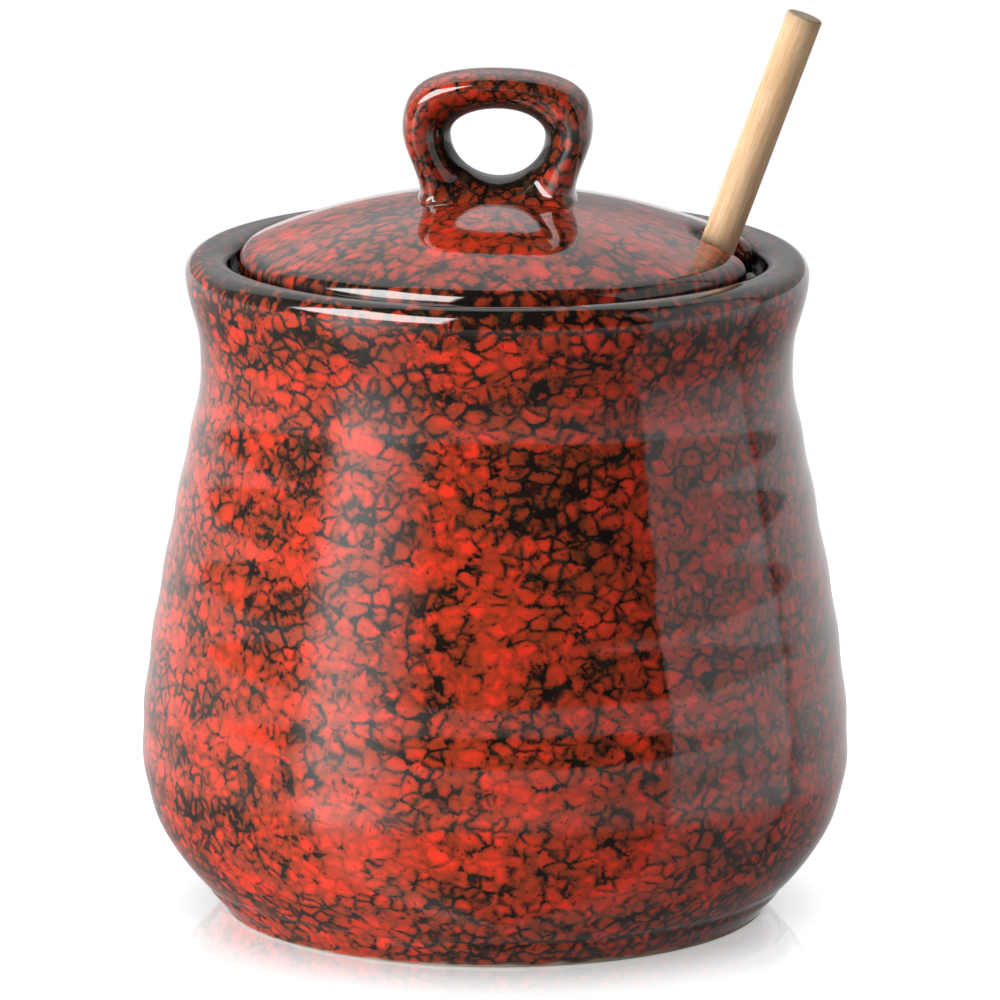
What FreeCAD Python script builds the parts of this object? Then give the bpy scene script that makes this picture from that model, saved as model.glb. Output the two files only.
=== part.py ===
import FreeCAD, Part
import os
import Sketcher
from FreeCAD import Placement, Rotation, Vector

doc = FreeCAD.newDocument("honey_pot")

# Driving sizes, in millimetres and degrees
driving_sizes = {
    # Jar, outside: radii from the axis, heights from the table, drops from the crest of the lip
    "jar_height": 110.7,
    "foot_radius": 45.4,
    "foot_edge": 0.5,
    "foot_height": 4.2,
    "foot_flare": 3.0,
    "foot_step": 1.4,
    "foot_groove": 1.6,
    "foot_groove_round": 1.5,
    "foot_turn": 8.0,
    "foot_angle": 43.0,
    "belly_radius": 58.9,
    "belly_height": 28.0,
    "belly_turn_below": 10.0,
    "belly_turn_above": 19.6,
    "waist_radius": 49.0,
    "waist_drop": 19.7,
    "waist_turn_below": 5.4,
    "waist_turn_above": 8.2,
    "rim_radius": 51.7,
    "rim_turn": 4.6,
    "lip_round": 3.4,
    "lip_width": 7.7,
    # Jar, inside: the ledge that the lid sits on, the wall and the floor
    "ledge_depth": 5.7,
    "ledge_width": 7.0,
    "ledge_thickness": 4.0,
    "ledge_corner": 0.8,
    "mouth_round": 1.2,
    "under_ledge_reach": 3.5,
    "under_ledge_drop": 2.4,
    "neck_turn": 4.0,
    "wall": 5.0,
    "floor_thickness": 4.5,
    "floor_inset": 9.4,
    "floor_turn_flat": 12.0,
    "floor_turn_side": 12.0,
    "foot_width": 5.4,
    "foot_recess": 1.0,
    # Lid
    "lid_side_gap": 1.3,
    "lid_seat_gap": 0.2,
    "lid_edge": 6.1,
    "lid_rise": 9.2,
    "lid_thickness": 5.0,
    "shoulder_round": 1.8,
    "flange_gap": 0.8,
    "flange_thickness": 3.0,
    "flange_depth": 6.0,
    "flange_round": 1.0,
    "notch_side_gap": 3.0,
    "notch_corner": 2.6,
    "notch_gap": 0.5,
    "notch_overrun": 6.0,
    # Loop on the lid, heights from its flat seat
    "loop_seat_drop": 1.0,
    "loop_height": 21.8,
    "loop_width": 31.5,
    "loop_widest": 12.5,
    "loop_base_width": 25.0,
    "loop_base_turn": 5.0,
    "loop_side_turn": 4.5,
    "loop_crown_turn": 7.1,
    "loop_crown_flat": 10.9,
    "loop_depth": 13.0,
    "loop_round": 2.9,
    "hole_width": 15.7,
    "hole_height": 11.2,
    "hole_rise": 4.1,
    "hole_drop": 7.2,
    # Dipper
    "dipper_length": 152.0,
    "dipper_lean": 19.9,
    "lean_gap": 0.3,
    "rest_gap": 0.3,
    "shaft_radius": 3.0,
    "shaft_edge": 0.4,
    "head_length": 40.0,
    "head_radius": 13.0,
    "head_end_radius": 8.5,
    "head_end_round": 1.5,
    "head_neck_radius": 7.0,
    "head_turn": 9.0,
    "head_core_radius": 6.0,
    "head_groove_width": 3.0,
    "head_groove_pitch": 5.6,
    "head_groove_count": 6,
    "head_first_groove": 3.8,
    "socket_depth": 15.0,
    "glue_gap": 0.05,
}

# Two points closer than this are the same point
same_place = 0.01

sheet = doc.addObject("Spreadsheet::Sheet", "Sizes")
for row, (alias, value) in enumerate(driving_sizes.items(), start=1):
    sheet.set(f"A{row}", alias)
    sheet.set(f"B{row}", str(value))
    sheet.setAlias(f"B{row}", alias)
doc.recompute()


def number(expression):
    return float(sheet.evalExpression(expression))


class Outline:
    """A sketch drawn point by point, every point placed by two expressions."""

    origin = (-1, 1)
    centre = 3

    def __init__(self, body, name, plane):
        self.sketch = body.newObject("Sketcher::SketchObject", name)
        support = next(f for f in body.Origin.OriginFeatures if f.Role == plane)
        self.sketch.AttachmentSupport = [(support, "")]
        self.sketch.MapMode = "FlatFace"
        self.begin()

    def begin(self):
        self.first = None
        self.last = None

    def vector(self, point):
        return Vector(number(point[0]), number(point[1]), 0)

    def bind(self, expression, kind, *parts):
        index = self.sketch.addConstraint(Sketcher.Constraint(kind, *parts, number(expression)))
        self.sketch.setExpression(f"Constraints[{index}]", expression)

    def pin(self, geometry, end, point):
        for expression, kind, aligned in zip(point, ("DistanceX", "DistanceY"), ("Vertical", "Horizontal")):
            if expression == "0":
                self.sketch.addConstraint(Sketcher.Constraint(aligned, *self.origin, geometry, end))
            else:
                self.bind(expression, kind, *self.origin, geometry, end)

    def chain(self, geometry, start, end):
        if self.last:
            self.sketch.addConstraint(Sketcher.Constraint("Coincident", *self.last, geometry, start))
        else:
            self.first = (geometry, start)
        self.last = (geometry, end)

    def line(self, point, target):
        geometry = self.sketch.addGeometry(Part.LineSegment(self.vector(point), self.vector(target)))
        self.chain(geometry, 1, 2)
        self.pin(geometry, 1, point)

    def arc(self, point, target, radius, bulge):
        # bulge is +1 where the arc swings to the left of the way it is drawn, -1 to the right
        start, stop = self.vector(point), self.vector(target)
        chord = stop - start
        side = Vector(-chord.y, chord.x, 0).normalize() * bulge
        size = number(radius)
        rise = size - (size ** 2 - (chord.Length / 2) ** 2) ** 0.5
        geometry = self.sketch.addGeometry(Part.Arc(start, (start + stop) / 2 + side * rise, stop))
        ends = sorted((1, 2), key=lambda end: self.sketch.getPoint(geometry, end).distanceToPoint(start))
        self.chain(geometry, *ends)
        self.pin(geometry, ends[0], point)
        self.bind(radius, "Radius", geometry)

    def curve(self, point, leave, arrive, target):
        # a cubic curve with its two handles
        spline = Part.BSplineCurve()
        poles = [self.vector(place) for place in (point, leave, arrive, target)]
        spline.buildFromPolesMultsKnots(poles, [4, 4], [0, 1], False, 3)
        geometry = self.sketch.addGeometry(spline)
        self.chain(geometry, 1, 2)
        self.sketch.exposeInternalGeometry(geometry)
        for pole, place in enumerate((point, leave, arrive), start=1):
            self.pin(geometry + pole, self.centre, place)

    def close(self):
        self.sketch.addConstraint(Sketcher.Constraint("Coincident", *self.last, *self.first))
        self.begin()
        return self.sketch


def new_body(label):
    body = doc.addObject("PartDesign::Body", label)
    body.Label = label
    return body


def place(body, **expressions):
    for axis, expression in expressions.items():
        body.setExpression(f"Placement.Base.{axis}", expression)


def feature(body, kind, name, profile, **expressions):
    made = body.newObject(f"PartDesign::{kind}", name)
    made.Profile = profile
    for target, expression in expressions.items():
        made.setExpression(target, expression)
    return made


def revolve(body, name, profile, kind="Revolution"):
    made = feature(body, kind, name, profile)
    made.ReferenceAxis = (profile, ["V_Axis"])
    made.Angle = 360
    doc.recompute()
    return made


def dress(body, kind, name, base, wanted, target, expression):
    # a fillet or chamfer on those edges of the base whose middle point is wanted
    names = []
    for index, edge in enumerate(base.Shape.Edges, start=1):
        if wanted(edge.valueAt((edge.FirstParameter + edge.LastParameter) / 2)):
            names.append(f"Edge{index}")
    made = body.newObject(f"PartDesign::{kind}", name)
    made.Base = (base, names)
    made.setExpression(target, expression)
    doc.recompute()
    return made


def near(value, expression):
    return abs(value - number(expression)) < same_place


# Sizes that follow from the driving ones
rim_height = "(Sizes.jar_height - Sizes.lip_round)"
waist_height = "(Sizes.jar_height - Sizes.waist_drop)"
ledge_height = "(Sizes.jar_height - Sizes.ledge_depth)"
floor_height = "(Sizes.foot_recess + Sizes.floor_thickness)"
gallery_radius = "(Sizes.rim_radius - Sizes.lip_width)"
mouth_radius = f"({gallery_radius} - Sizes.ledge_width)"
lid_radius = f"({gallery_radius} - Sizes.lid_side_gap)"
dome_radius = f"(({lid_radius}^2 + Sizes.lid_rise^2) / (2 * Sizes.lid_rise))"
flange_outer = f"({mouth_radius} - Sizes.flange_gap)"
flange_inner = f"({flange_outer} - Sizes.flange_thickness)"

# Jar: one thrown or cast wall with a turned foot, and a ledge inside the lip for the lid
foot_inner = "(Sizes.foot_radius - Sizes.foot_width)"
floor_radius = "(Sizes.foot_radius - Sizes.floor_inset)"
foot_top = ("Sizes.foot_radius + Sizes.foot_flare", "Sizes.foot_height")
wall_start_radius = "Sizes.foot_radius + Sizes.foot_flare + Sizes.foot_step"
wall_start_height = "Sizes.foot_height + Sizes.foot_groove"
wall_start = (wall_start_radius, wall_start_height)
wall_start_handle = (
    f"{wall_start_radius} + Sizes.foot_turn * sin(Sizes.foot_angle)",
    f"{wall_start_height} + Sizes.foot_turn * cos(Sizes.foot_angle)",
)
belly = ("Sizes.belly_radius", "Sizes.belly_height")
waist = ("Sizes.waist_radius", waist_height)
rim = ("Sizes.rim_radius", rim_height)
lip_centre_radius = "(Sizes.rim_radius - Sizes.lip_round)"
lip_inner_radius = f"({lip_centre_radius} - Sizes.lip_round * cos(45))"
lip_inner_height = f"({rim_height} + Sizes.lip_round * sin(45))"
lip_inner = (lip_inner_radius, lip_inner_height)
gallery_top = (gallery_radius, f"{lip_inner_height} - ({lip_inner_radius} - {gallery_radius})")
gallery_foot = (gallery_radius, f"{ledge_height} + Sizes.ledge_corner")
ledge_outer = (f"{gallery_radius} - Sizes.ledge_corner", ledge_height)
ledge_inner = (f"{mouth_radius} + Sizes.mouth_round", ledge_height)
mouth_top = (mouth_radius, f"{ledge_height} - Sizes.mouth_round")
mouth_base_height = f"({ledge_height} - Sizes.ledge_thickness)"
mouth_base = (mouth_radius, mouth_base_height)
neck_radius = "(Sizes.waist_radius - Sizes.wall)"
hollow_radius = "(Sizes.belly_radius - Sizes.wall)"
neck = (neck_radius, waist_height)
hollow = (hollow_radius, "Sizes.belly_height")
floor_edge = (floor_radius, floor_height)
floor_centre = ("0", floor_height)
under_centre = ("0", "Sizes.foot_recess")
under_edge = (f"{foot_inner} - Sizes.foot_recess", "Sizes.foot_recess")

jar = new_body("jar")
wall = Outline(jar, "jar_section", "XZ_Plane")
wall.line(under_centre, under_edge)
wall.line(under_edge, (foot_inner, "0"))
wall.line((foot_inner, "0"), ("Sizes.foot_radius - Sizes.foot_edge", "0"))
wall.line(("Sizes.foot_radius - Sizes.foot_edge", "0"), ("Sizes.foot_radius", "Sizes.foot_edge"))
wall.line(("Sizes.foot_radius", "Sizes.foot_edge"), foot_top)
wall.arc(foot_top, wall_start, "Sizes.foot_groove_round", 1)
wall.curve(wall_start, wall_start_handle,
           ("Sizes.belly_radius", "Sizes.belly_height - Sizes.belly_turn_below"), belly)
wall.curve(belly, ("Sizes.belly_radius", "Sizes.belly_height + Sizes.belly_turn_above"),
           ("Sizes.waist_radius", f"{waist_height} - Sizes.waist_turn_below"), waist)
wall.curve(waist, ("Sizes.waist_radius", f"{waist_height} + Sizes.waist_turn_above"),
           ("Sizes.rim_radius", f"{rim_height} - Sizes.rim_turn"), rim)
wall.arc(rim, (lip_centre_radius, "Sizes.jar_height"), "Sizes.lip_round", -1)
wall.arc((lip_centre_radius, "Sizes.jar_height"), lip_inner, "Sizes.lip_round", -1)
wall.line(lip_inner, gallery_top)
wall.line(gallery_top, gallery_foot)
wall.arc(gallery_foot, ledge_outer, "Sizes.ledge_corner", 1)
wall.line(ledge_outer, ledge_inner)
wall.arc(ledge_inner, mouth_top, "Sizes.mouth_round", -1)
wall.line(mouth_top, mouth_base)
wall.curve(mouth_base,
           (f"{mouth_radius} + Sizes.under_ledge_reach", f"{mouth_base_height} - Sizes.under_ledge_drop"),
           (neck_radius, f"{waist_height} + Sizes.neck_turn"), neck)
wall.curve(neck, (neck_radius, f"{waist_height} - Sizes.waist_turn_below"),
           (hollow_radius, "Sizes.belly_height + Sizes.belly_turn_above"), hollow)
wall.curve(hollow, (hollow_radius, "Sizes.belly_height - Sizes.floor_turn_side"),
           (f"{floor_radius} + Sizes.floor_turn_flat", floor_height), floor_edge)
wall.line(floor_edge, floor_centre)
wall.line(floor_centre, under_centre)
revolve(jar, "jar_turned", wall.close())

# Dipper's place: the shaft leans on the rounded edge of the mouth, the head's end rests on the floor
lean_reach = "(Sizes.shaft_radius + Sizes.lean_gap + Sizes.mouth_round)"
lean_x = f"({mouth_radius} + Sizes.mouth_round - {lean_reach} * cos(Sizes.dipper_lean))"
lean_z = f"({ledge_height} - Sizes.mouth_round + {lean_reach} * sin(Sizes.dipper_lean))"
rest_rise = (
    "(Sizes.head_end_round * (1 - cos(Sizes.dipper_lean))"
    " + (Sizes.head_end_radius - Sizes.head_end_round) * sin(Sizes.dipper_lean))"
)
rest_z = f"({floor_height} + Sizes.rest_gap + {rest_rise})"
rest_x = f"({lean_x} - ({lean_z} - {rest_z}) * tan(Sizes.dipper_lean))"

# Lid: a shallow dome with a ring under it that drops into the mouth, and a notch for the shaft.
# Its heights are measured from the bottom of that ring.
seat_height = "Sizes.flange_depth"
edge_height = f"({seat_height} + Sizes.lid_edge)"
crown_height = f"({edge_height} + Sizes.lid_rise)"
dome_centre = f"({crown_height} - {dome_radius})"
loop_seat_height = f"({crown_height} - Sizes.loop_seat_drop)"
loop_seat_radius = f"sqrt(2 * {dome_radius} * Sizes.loop_seat_drop - Sizes.loop_seat_drop^2)"
under_radius = f"({dome_radius} - Sizes.lid_thickness)"
under_rim_height = f"({dome_centre} + sqrt({under_radius}^2 - {flange_inner}^2))"
lid_base = f"({ledge_height} + Sizes.lid_seat_gap - Sizes.flange_depth)"

lid = new_body("lid")
place(lid, z=lid_base)
shell = Outline(lid, "lid_section", "XZ_Plane")
loop_seat = (loop_seat_radius, loop_seat_height)
shell.line(("0", loop_seat_height), loop_seat)
shell.arc(loop_seat, (lid_radius, edge_height), dome_radius, 1)
shell.line((lid_radius, edge_height), (lid_radius, seat_height))
shell.line((lid_radius, seat_height), (flange_outer, seat_height))
shell.line((flange_outer, seat_height), (flange_outer, "Sizes.flange_round"))
shell.arc((flange_outer, "Sizes.flange_round"), (f"{flange_outer} - Sizes.flange_round", "0"),
          "Sizes.flange_round", -1)
shell.line((f"{flange_outer} - Sizes.flange_round", "0"), (f"{flange_inner} + Sizes.flange_round", "0"))
shell.arc((f"{flange_inner} + Sizes.flange_round", "0"), (flange_inner, "Sizes.flange_round"),
          "Sizes.flange_round", -1)
shell.line((flange_inner, "Sizes.flange_round"), (flange_inner, under_rim_height))
shell.arc((flange_inner, under_rim_height), ("0", f"{crown_height} - Sizes.lid_thickness"), under_radius, -1)
shell.line(("0", f"{crown_height} - Sizes.lid_thickness"), ("0", loop_seat_height))
revolve(lid, "lid_turned", shell.close())

# The notch reaches in as far as the shaft does at the underside of the dome,
# and far enough for the shaft to pass through the ring on its way down
shaft_inner = (
    f"({lean_x} + ({lid_base} + {under_rim_height} - {lean_z}) * tan(Sizes.dipper_lean)"
    " - Sizes.shaft_radius / cos(Sizes.dipper_lean))"
)
half_notch = "(Sizes.shaft_radius + Sizes.notch_side_gap)"
ring_pass = "(Sizes.shaft_radius + Sizes.notch_gap)"
ring_inner = (
    f"(sqrt({flange_inner}^2 - {ring_pass}^2) - {half_notch} + sqrt({half_notch}^2 - {ring_pass}^2))"
)
notch_inner = f"(min({shaft_inner} - Sizes.notch_gap; {ring_inner}))"
notch_centre = f"({notch_inner} + {half_notch})"
notch_outer = f"({lid_radius} + Sizes.notch_overrun)"
notch = Outline(lid, "notch_plan", "XY_Plane")
notch.line((notch_centre, f"-{half_notch}"), (notch_outer, f"-{half_notch}"))
notch.line((notch_outer, f"-{half_notch}"), (notch_outer, half_notch))
notch.line((notch_outer, half_notch), (notch_centre, half_notch))
notch.arc((notch_centre, half_notch), (notch_inner, "0"), half_notch, -1)
notch.arc((notch_inner, "0"), (notch_centre, f"-{half_notch}"), half_notch, -1)
lid_notched = feature(lid, "Pocket", "lid_notched", notch.close())
lid_notched.Type = "ThroughAll"
lid_notched.Reversed = True
doc.recompute()


def at_notch_corner(point):
    return near(abs(point.y), half_notch) and near(Vector(point.x, point.y, 0).Length, lid_radius)


def on_dome_edge(point):
    from_centre = point - Vector(0, 0, number(dome_centre))
    return near(from_centre.Length, dome_radius) and not near(point.z, loop_seat_height)


lid_cornered = dress(lid, "Fillet", "lid_cornered", lid_notched, at_notch_corner,
                     "Radius", "Sizes.notch_corner")
dress(lid, "Fillet", "lid_rounded", lid_cornered, on_dome_edge, "Radius", "Sizes.shoulder_round")

# Loop: a pulled handle with a finger hole, stuck on the flat seat at the crown of the lid
half_width = "Sizes.loop_width / 2"
half_base = "Sizes.loop_base_width / 2"
half_hole = "Sizes.hole_width / 2"
# a cubic curve climbs three quarters of the way to its handles
handle_reach = "4 / 3"
hole_top_handle = f"Sizes.hole_height + Sizes.hole_rise * {handle_reach}"
hole_low_handle = f"Sizes.hole_height - Sizes.hole_drop * {handle_reach}"
loop_top = ("0", "Sizes.loop_height")

lid_loop = new_body("lid_loop")
place(lid_loop, z=f"{lid_base} + {loop_seat_height}")
band = Outline(lid_loop, "loop_outline", "XZ_Plane")
right_base = (half_base, "0")
left_base = (f"-{half_base}", "0")
right_side = (half_width, "Sizes.loop_widest")
left_side = (f"-{half_width}", "Sizes.loop_widest")
band.line(left_base, right_base)
band.curve(right_base, (half_base, "Sizes.loop_base_turn"),
           (half_width, "Sizes.loop_widest - Sizes.loop_side_turn"), right_side)
band.curve(right_side, (half_width, "Sizes.loop_widest + Sizes.loop_crown_turn"),
           ("Sizes.loop_crown_flat", "Sizes.loop_height"), loop_top)
band.curve(loop_top, ("-Sizes.loop_crown_flat", "Sizes.loop_height"),
           (f"-{half_width}", "Sizes.loop_widest + Sizes.loop_crown_turn"), left_side)
band.curve(left_side, (f"-{half_width}", "Sizes.loop_widest - Sizes.loop_side_turn"),
           (f"-{half_base}", "Sizes.loop_base_turn"), left_base)
band.close()
right_hole = (half_hole, "Sizes.hole_height")
left_hole = (f"-{half_hole}", "Sizes.hole_height")
band.curve(right_hole, (half_hole, hole_top_handle), (f"-{half_hole}", hole_top_handle), left_hole)
band.curve(left_hole, (f"-{half_hole}", hole_low_handle), (half_hole, hole_low_handle), right_hole)
loop_padded = feature(lid_loop, "Pad", "loop_padded", band.close(), Length="Sizes.loop_depth")
loop_padded.Midplane = True
doc.recompute()


def on_loop_face(point):
    return near(abs(point.y), "Sizes.loop_depth / 2") and not near(point.z, "0")


dress(lid_loop, "Fillet", "loop_rounded", loop_padded, on_loop_face, "Radius", "Sizes.loop_round")

# Dipper: a turned head with grooves that hold the honey, and a dowel glued into its socket
dipper_turn = Placement(Vector(), Rotation(Vector(0, 1, 0), number("Sizes.dipper_lean")))
head_half = "Sizes.head_length / 2"

dipper_head = new_body("dipper_head")
dipper_head.Placement = dipper_turn
place(dipper_head, x=rest_x, z=rest_z)
dipper_head.setExpression("Placement.Rotation.Angle", "Sizes.dipper_lean")
barrel = Outline(dipper_head, "head_section", "XZ_Plane")
end_flat = ("Sizes.head_end_radius - Sizes.head_end_round", "0")
end_side = ("Sizes.head_end_radius", "Sizes.head_end_round")
widest = ("Sizes.head_radius", head_half)
head_neck = ("Sizes.head_neck_radius", "Sizes.head_length")
barrel.line(("0", "0"), end_flat)
barrel.arc(end_flat, end_side, "Sizes.head_end_round", -1)
barrel.curve(end_side, ("Sizes.head_end_radius", "Sizes.head_end_round + Sizes.head_turn / 2"),
             ("Sizes.head_radius", f"{head_half} - Sizes.head_turn"), widest)
barrel.curve(widest, ("Sizes.head_radius", f"{head_half} + Sizes.head_turn"),
             ("Sizes.head_neck_radius", "Sizes.head_length - Sizes.head_turn / 2"), head_neck)
barrel.line(head_neck, ("0", "Sizes.head_length"))
barrel.line(("0", "Sizes.head_length"), ("0", "0"))
revolve(dipper_head, "head_turned", barrel.close())

cutter = Outline(dipper_head, "groove_section", "XZ_Plane")
groove_low = "Sizes.head_first_groove"
groove_high = "Sizes.head_first_groove + Sizes.head_groove_width"
groove_reach = "Sizes.head_radius + Sizes.head_groove_width"
cutter.line(("Sizes.head_core_radius", groove_low), (groove_reach, groove_low))
cutter.line((groove_reach, groove_low), (groove_reach, groove_high))
cutter.line((groove_reach, groove_high), ("Sizes.head_core_radius", groove_high))
cutter.line(("Sizes.head_core_radius", groove_high), ("Sizes.head_core_radius", groove_low))
head_grooved = revolve(dipper_head, "head_grooved", cutter.close(), kind="Groove")
grooves = dipper_head.newObject("PartDesign::LinearPattern", "head_grooves")
grooves.Originals = [head_grooved]
grooves.Direction = (cutter.sketch, ["V_Axis"])
grooves.setExpression("Length", "Sizes.head_groove_pitch * (Sizes.head_groove_count - 1)")
grooves.setExpression("Occurrences", "Sizes.head_groove_count")
dipper_head.Tip = grooves
doc.recompute()


def round_sketch(body, name, radius):
    plan = Outline(body, name, "XY_Plane").sketch
    circle = plan.addGeometry(Part.Circle(Vector(), Vector(0, 0, 1), number(radius)))
    plan.addConstraint(Sketcher.Constraint("Coincident", circle, Outline.centre, *Outline.origin))
    plan.addConstraint(Sketcher.Constraint("Radius", circle, number(radius)))
    plan.setExpression("Constraints[1]", radius)
    return plan


socket = round_sketch(dipper_head, "socket_plan", "Sizes.shaft_radius + Sizes.glue_gap")
socket.setExpression("AttachmentOffset.Base.z", "Sizes.head_length")
feature(dipper_head, "Pocket", "head_socketed", socket, Length="Sizes.socket_depth")

socket_floor = "(Sizes.head_length - Sizes.socket_depth)"
dipper_shaft = new_body("dipper_shaft")
dipper_shaft.Placement = dipper_turn
place(dipper_shaft, x=f"{rest_x} + {socket_floor} * sin(Sizes.dipper_lean)",
      z=f"{rest_z} + {socket_floor} * cos(Sizes.dipper_lean)")
dipper_shaft.setExpression("Placement.Rotation.Angle", "Sizes.dipper_lean")
shaft_length = f"Sizes.dipper_length - {socket_floor}"
shaft_plan = round_sketch(dipper_shaft, "shaft_plan", "Sizes.shaft_radius")
dowel = feature(dipper_shaft, "Pad", "shaft_turned", shaft_plan, Length=shaft_length)
doc.recompute()
dress(dipper_shaft, "Chamfer", "shaft_sawn", dowel, lambda point: near(point.z, shaft_length),
      "Size", "Sizes.shaft_edge")

doc.recompute()
pieces = [jar, lid, lid_loop, dipper_head, dipper_shaft]
for item in doc.Objects:
    if "Invalid" in item.State or "Error" in item.State:
        raise RuntimeError(f"{item.Name} did not compute: {item.State}")
for piece in pieces:
    if piece.Shape.isNull() or not piece.Shape.isValid() or len(piece.Shape.Solids) != 1:
        raise RuntimeError(f"{piece.Label} is not one sound solid")

os.makedirs("parts", exist_ok=True)
for piece in pieces:
    piece.Shape.exportStep(f"parts/{piece.Label}.step")
    print(piece.Label, "volume", round(piece.Shape.Volume / 1000, 2), "cm3")
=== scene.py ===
import bisect
import math
import bmesh
import bpy
from mathutils import Matrix, Vector, noise
from mathutils.geometry import interpolate_bezier


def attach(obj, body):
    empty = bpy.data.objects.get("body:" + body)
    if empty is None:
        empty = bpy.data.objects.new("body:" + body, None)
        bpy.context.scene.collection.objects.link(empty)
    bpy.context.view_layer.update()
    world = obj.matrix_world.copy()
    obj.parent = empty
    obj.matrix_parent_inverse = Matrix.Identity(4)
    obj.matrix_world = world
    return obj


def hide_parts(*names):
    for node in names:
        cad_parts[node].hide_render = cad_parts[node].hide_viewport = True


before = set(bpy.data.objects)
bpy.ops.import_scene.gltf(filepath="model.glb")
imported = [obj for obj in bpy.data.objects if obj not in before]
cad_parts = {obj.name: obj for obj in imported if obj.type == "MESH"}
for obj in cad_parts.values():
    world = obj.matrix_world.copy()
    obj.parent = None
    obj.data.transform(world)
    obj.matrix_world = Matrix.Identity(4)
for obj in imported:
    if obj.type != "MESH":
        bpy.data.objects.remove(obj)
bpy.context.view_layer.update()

scene = bpy.context.scene
scene.view_settings.view_transform = "Standard"
mm = 0.001
print("frame loaded:", ", ".join(sorted(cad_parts)))


# Shader sums written as plain expressions

class Wire:
    def __init__(self, tree, socket=None):
        self.tree = tree
        self.socket = socket

    def node(self, kind, settings=None, inputs=None, output=0):
        made = self.tree.nodes.new(kind)
        for name, value in (settings or {}).items():
            setattr(made, name, value)
        for name, value in (inputs or {}).items():
            if isinstance(value, Wire):
                self.tree.links.new(value.socket, made.inputs[name])
            else:
                made.inputs[name].default_value = value
        return Wire(self.tree, made.outputs[output] if made.outputs else None)

    def sum(self, operation, *values):
        return self.node("ShaderNodeMath", {"operation": operation}, dict(enumerate(values)))

    def __add__(self, other):
        return self.sum("ADD", self, other)

    def __radd__(self, other):
        return self.sum("ADD", other, self)

    def __sub__(self, other):
        return self.sum("SUBTRACT", self, other)

    def __rsub__(self, other):
        return self.sum("SUBTRACT", other, self)

    def __mul__(self, other):
        return self.sum("MULTIPLY", self, other)

    def __rmul__(self, other):
        return self.sum("MULTIPLY", other, self)

    def __truediv__(self, other):
        return self.sum("DIVIDE", self, other)

    def clamp(self):
        return self.node("ShaderNodeClamp", {}, {"Value": self})

    # 0 below low, 1 above high, eased between
    def step(self, low, high):
        settings = {"interpolation_type": "SMOOTHSTEP"}
        return self.node("ShaderNodeMapRange", settings, {"Value": self, "From Min": low, "From Max": high})

    # this wire as the factor between two colours
    def mix(self, first, second):
        settings = {"data_type": "RGBA", "clamp_factor": True}
        rgba = [c if isinstance(c, Wire) else (*c, 1) for c in (first, second)]
        return self.node("ShaderNodeMix", settings, {0: self, 6: rgba[0], 7: rgba[1]}, 2)

    def scaled(self, factors):
        return self.node("ShaderNodeVectorMath", {"operation": "MULTIPLY"}, {0: self, 1: factors})

    def moved(self, other):
        return self.node("ShaderNodeVectorMath", {"operation": "ADD"}, {0: self, 1: other})

    def noise(self, size, detail, output="Fac", roughness=0.5):
        inputs = {"Vector": self, "Scale": 1 / size, "Detail": detail, "Roughness": roughness}
        return self.node("ShaderNodeTexNoise", {}, inputs, output)

    def cells(self, size, feature, output="Distance", more=None):
        inputs = {"Vector": self, "Scale": 1 / size, **(more or {})}
        return self.node("ShaderNodeTexVoronoi", {"feature": feature}, inputs, output)


def newMaterial(name):
    material = bpy.data.materials.new(name)
    material.use_nodes = True
    tree = material.node_tree
    tree.nodes.clear()
    return material, Wire(tree)


def finishMaterial(start, sockets):
    surface = start.node("ShaderNodeBsdfPrincipled", {}, sockets)
    start.node("ShaderNodeOutputMaterial", {}, {"Surface": surface})


def millimetres(start):
    return start.node("ShaderNodeTexCoord", {}, {}, "Object").scaled((1000, 1000, 1000))


def coordinates(start, vector):
    return [start.node("ShaderNodeSeparateXYZ", {}, {0: vector}, i) for i in range(3)]


def painted(start, layer):
    return start.node("ShaderNodeAttribute", {"attribute_name": layer}, {}, "Fac")


bumpDepth = 0.2 * mm


def bumped(start, strength, height):
    inputs = {"Strength": strength, "Distance": bumpDepth, "Height": height}
    return start.node("ShaderNodeBump", {}, inputs, "Normal")


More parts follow.
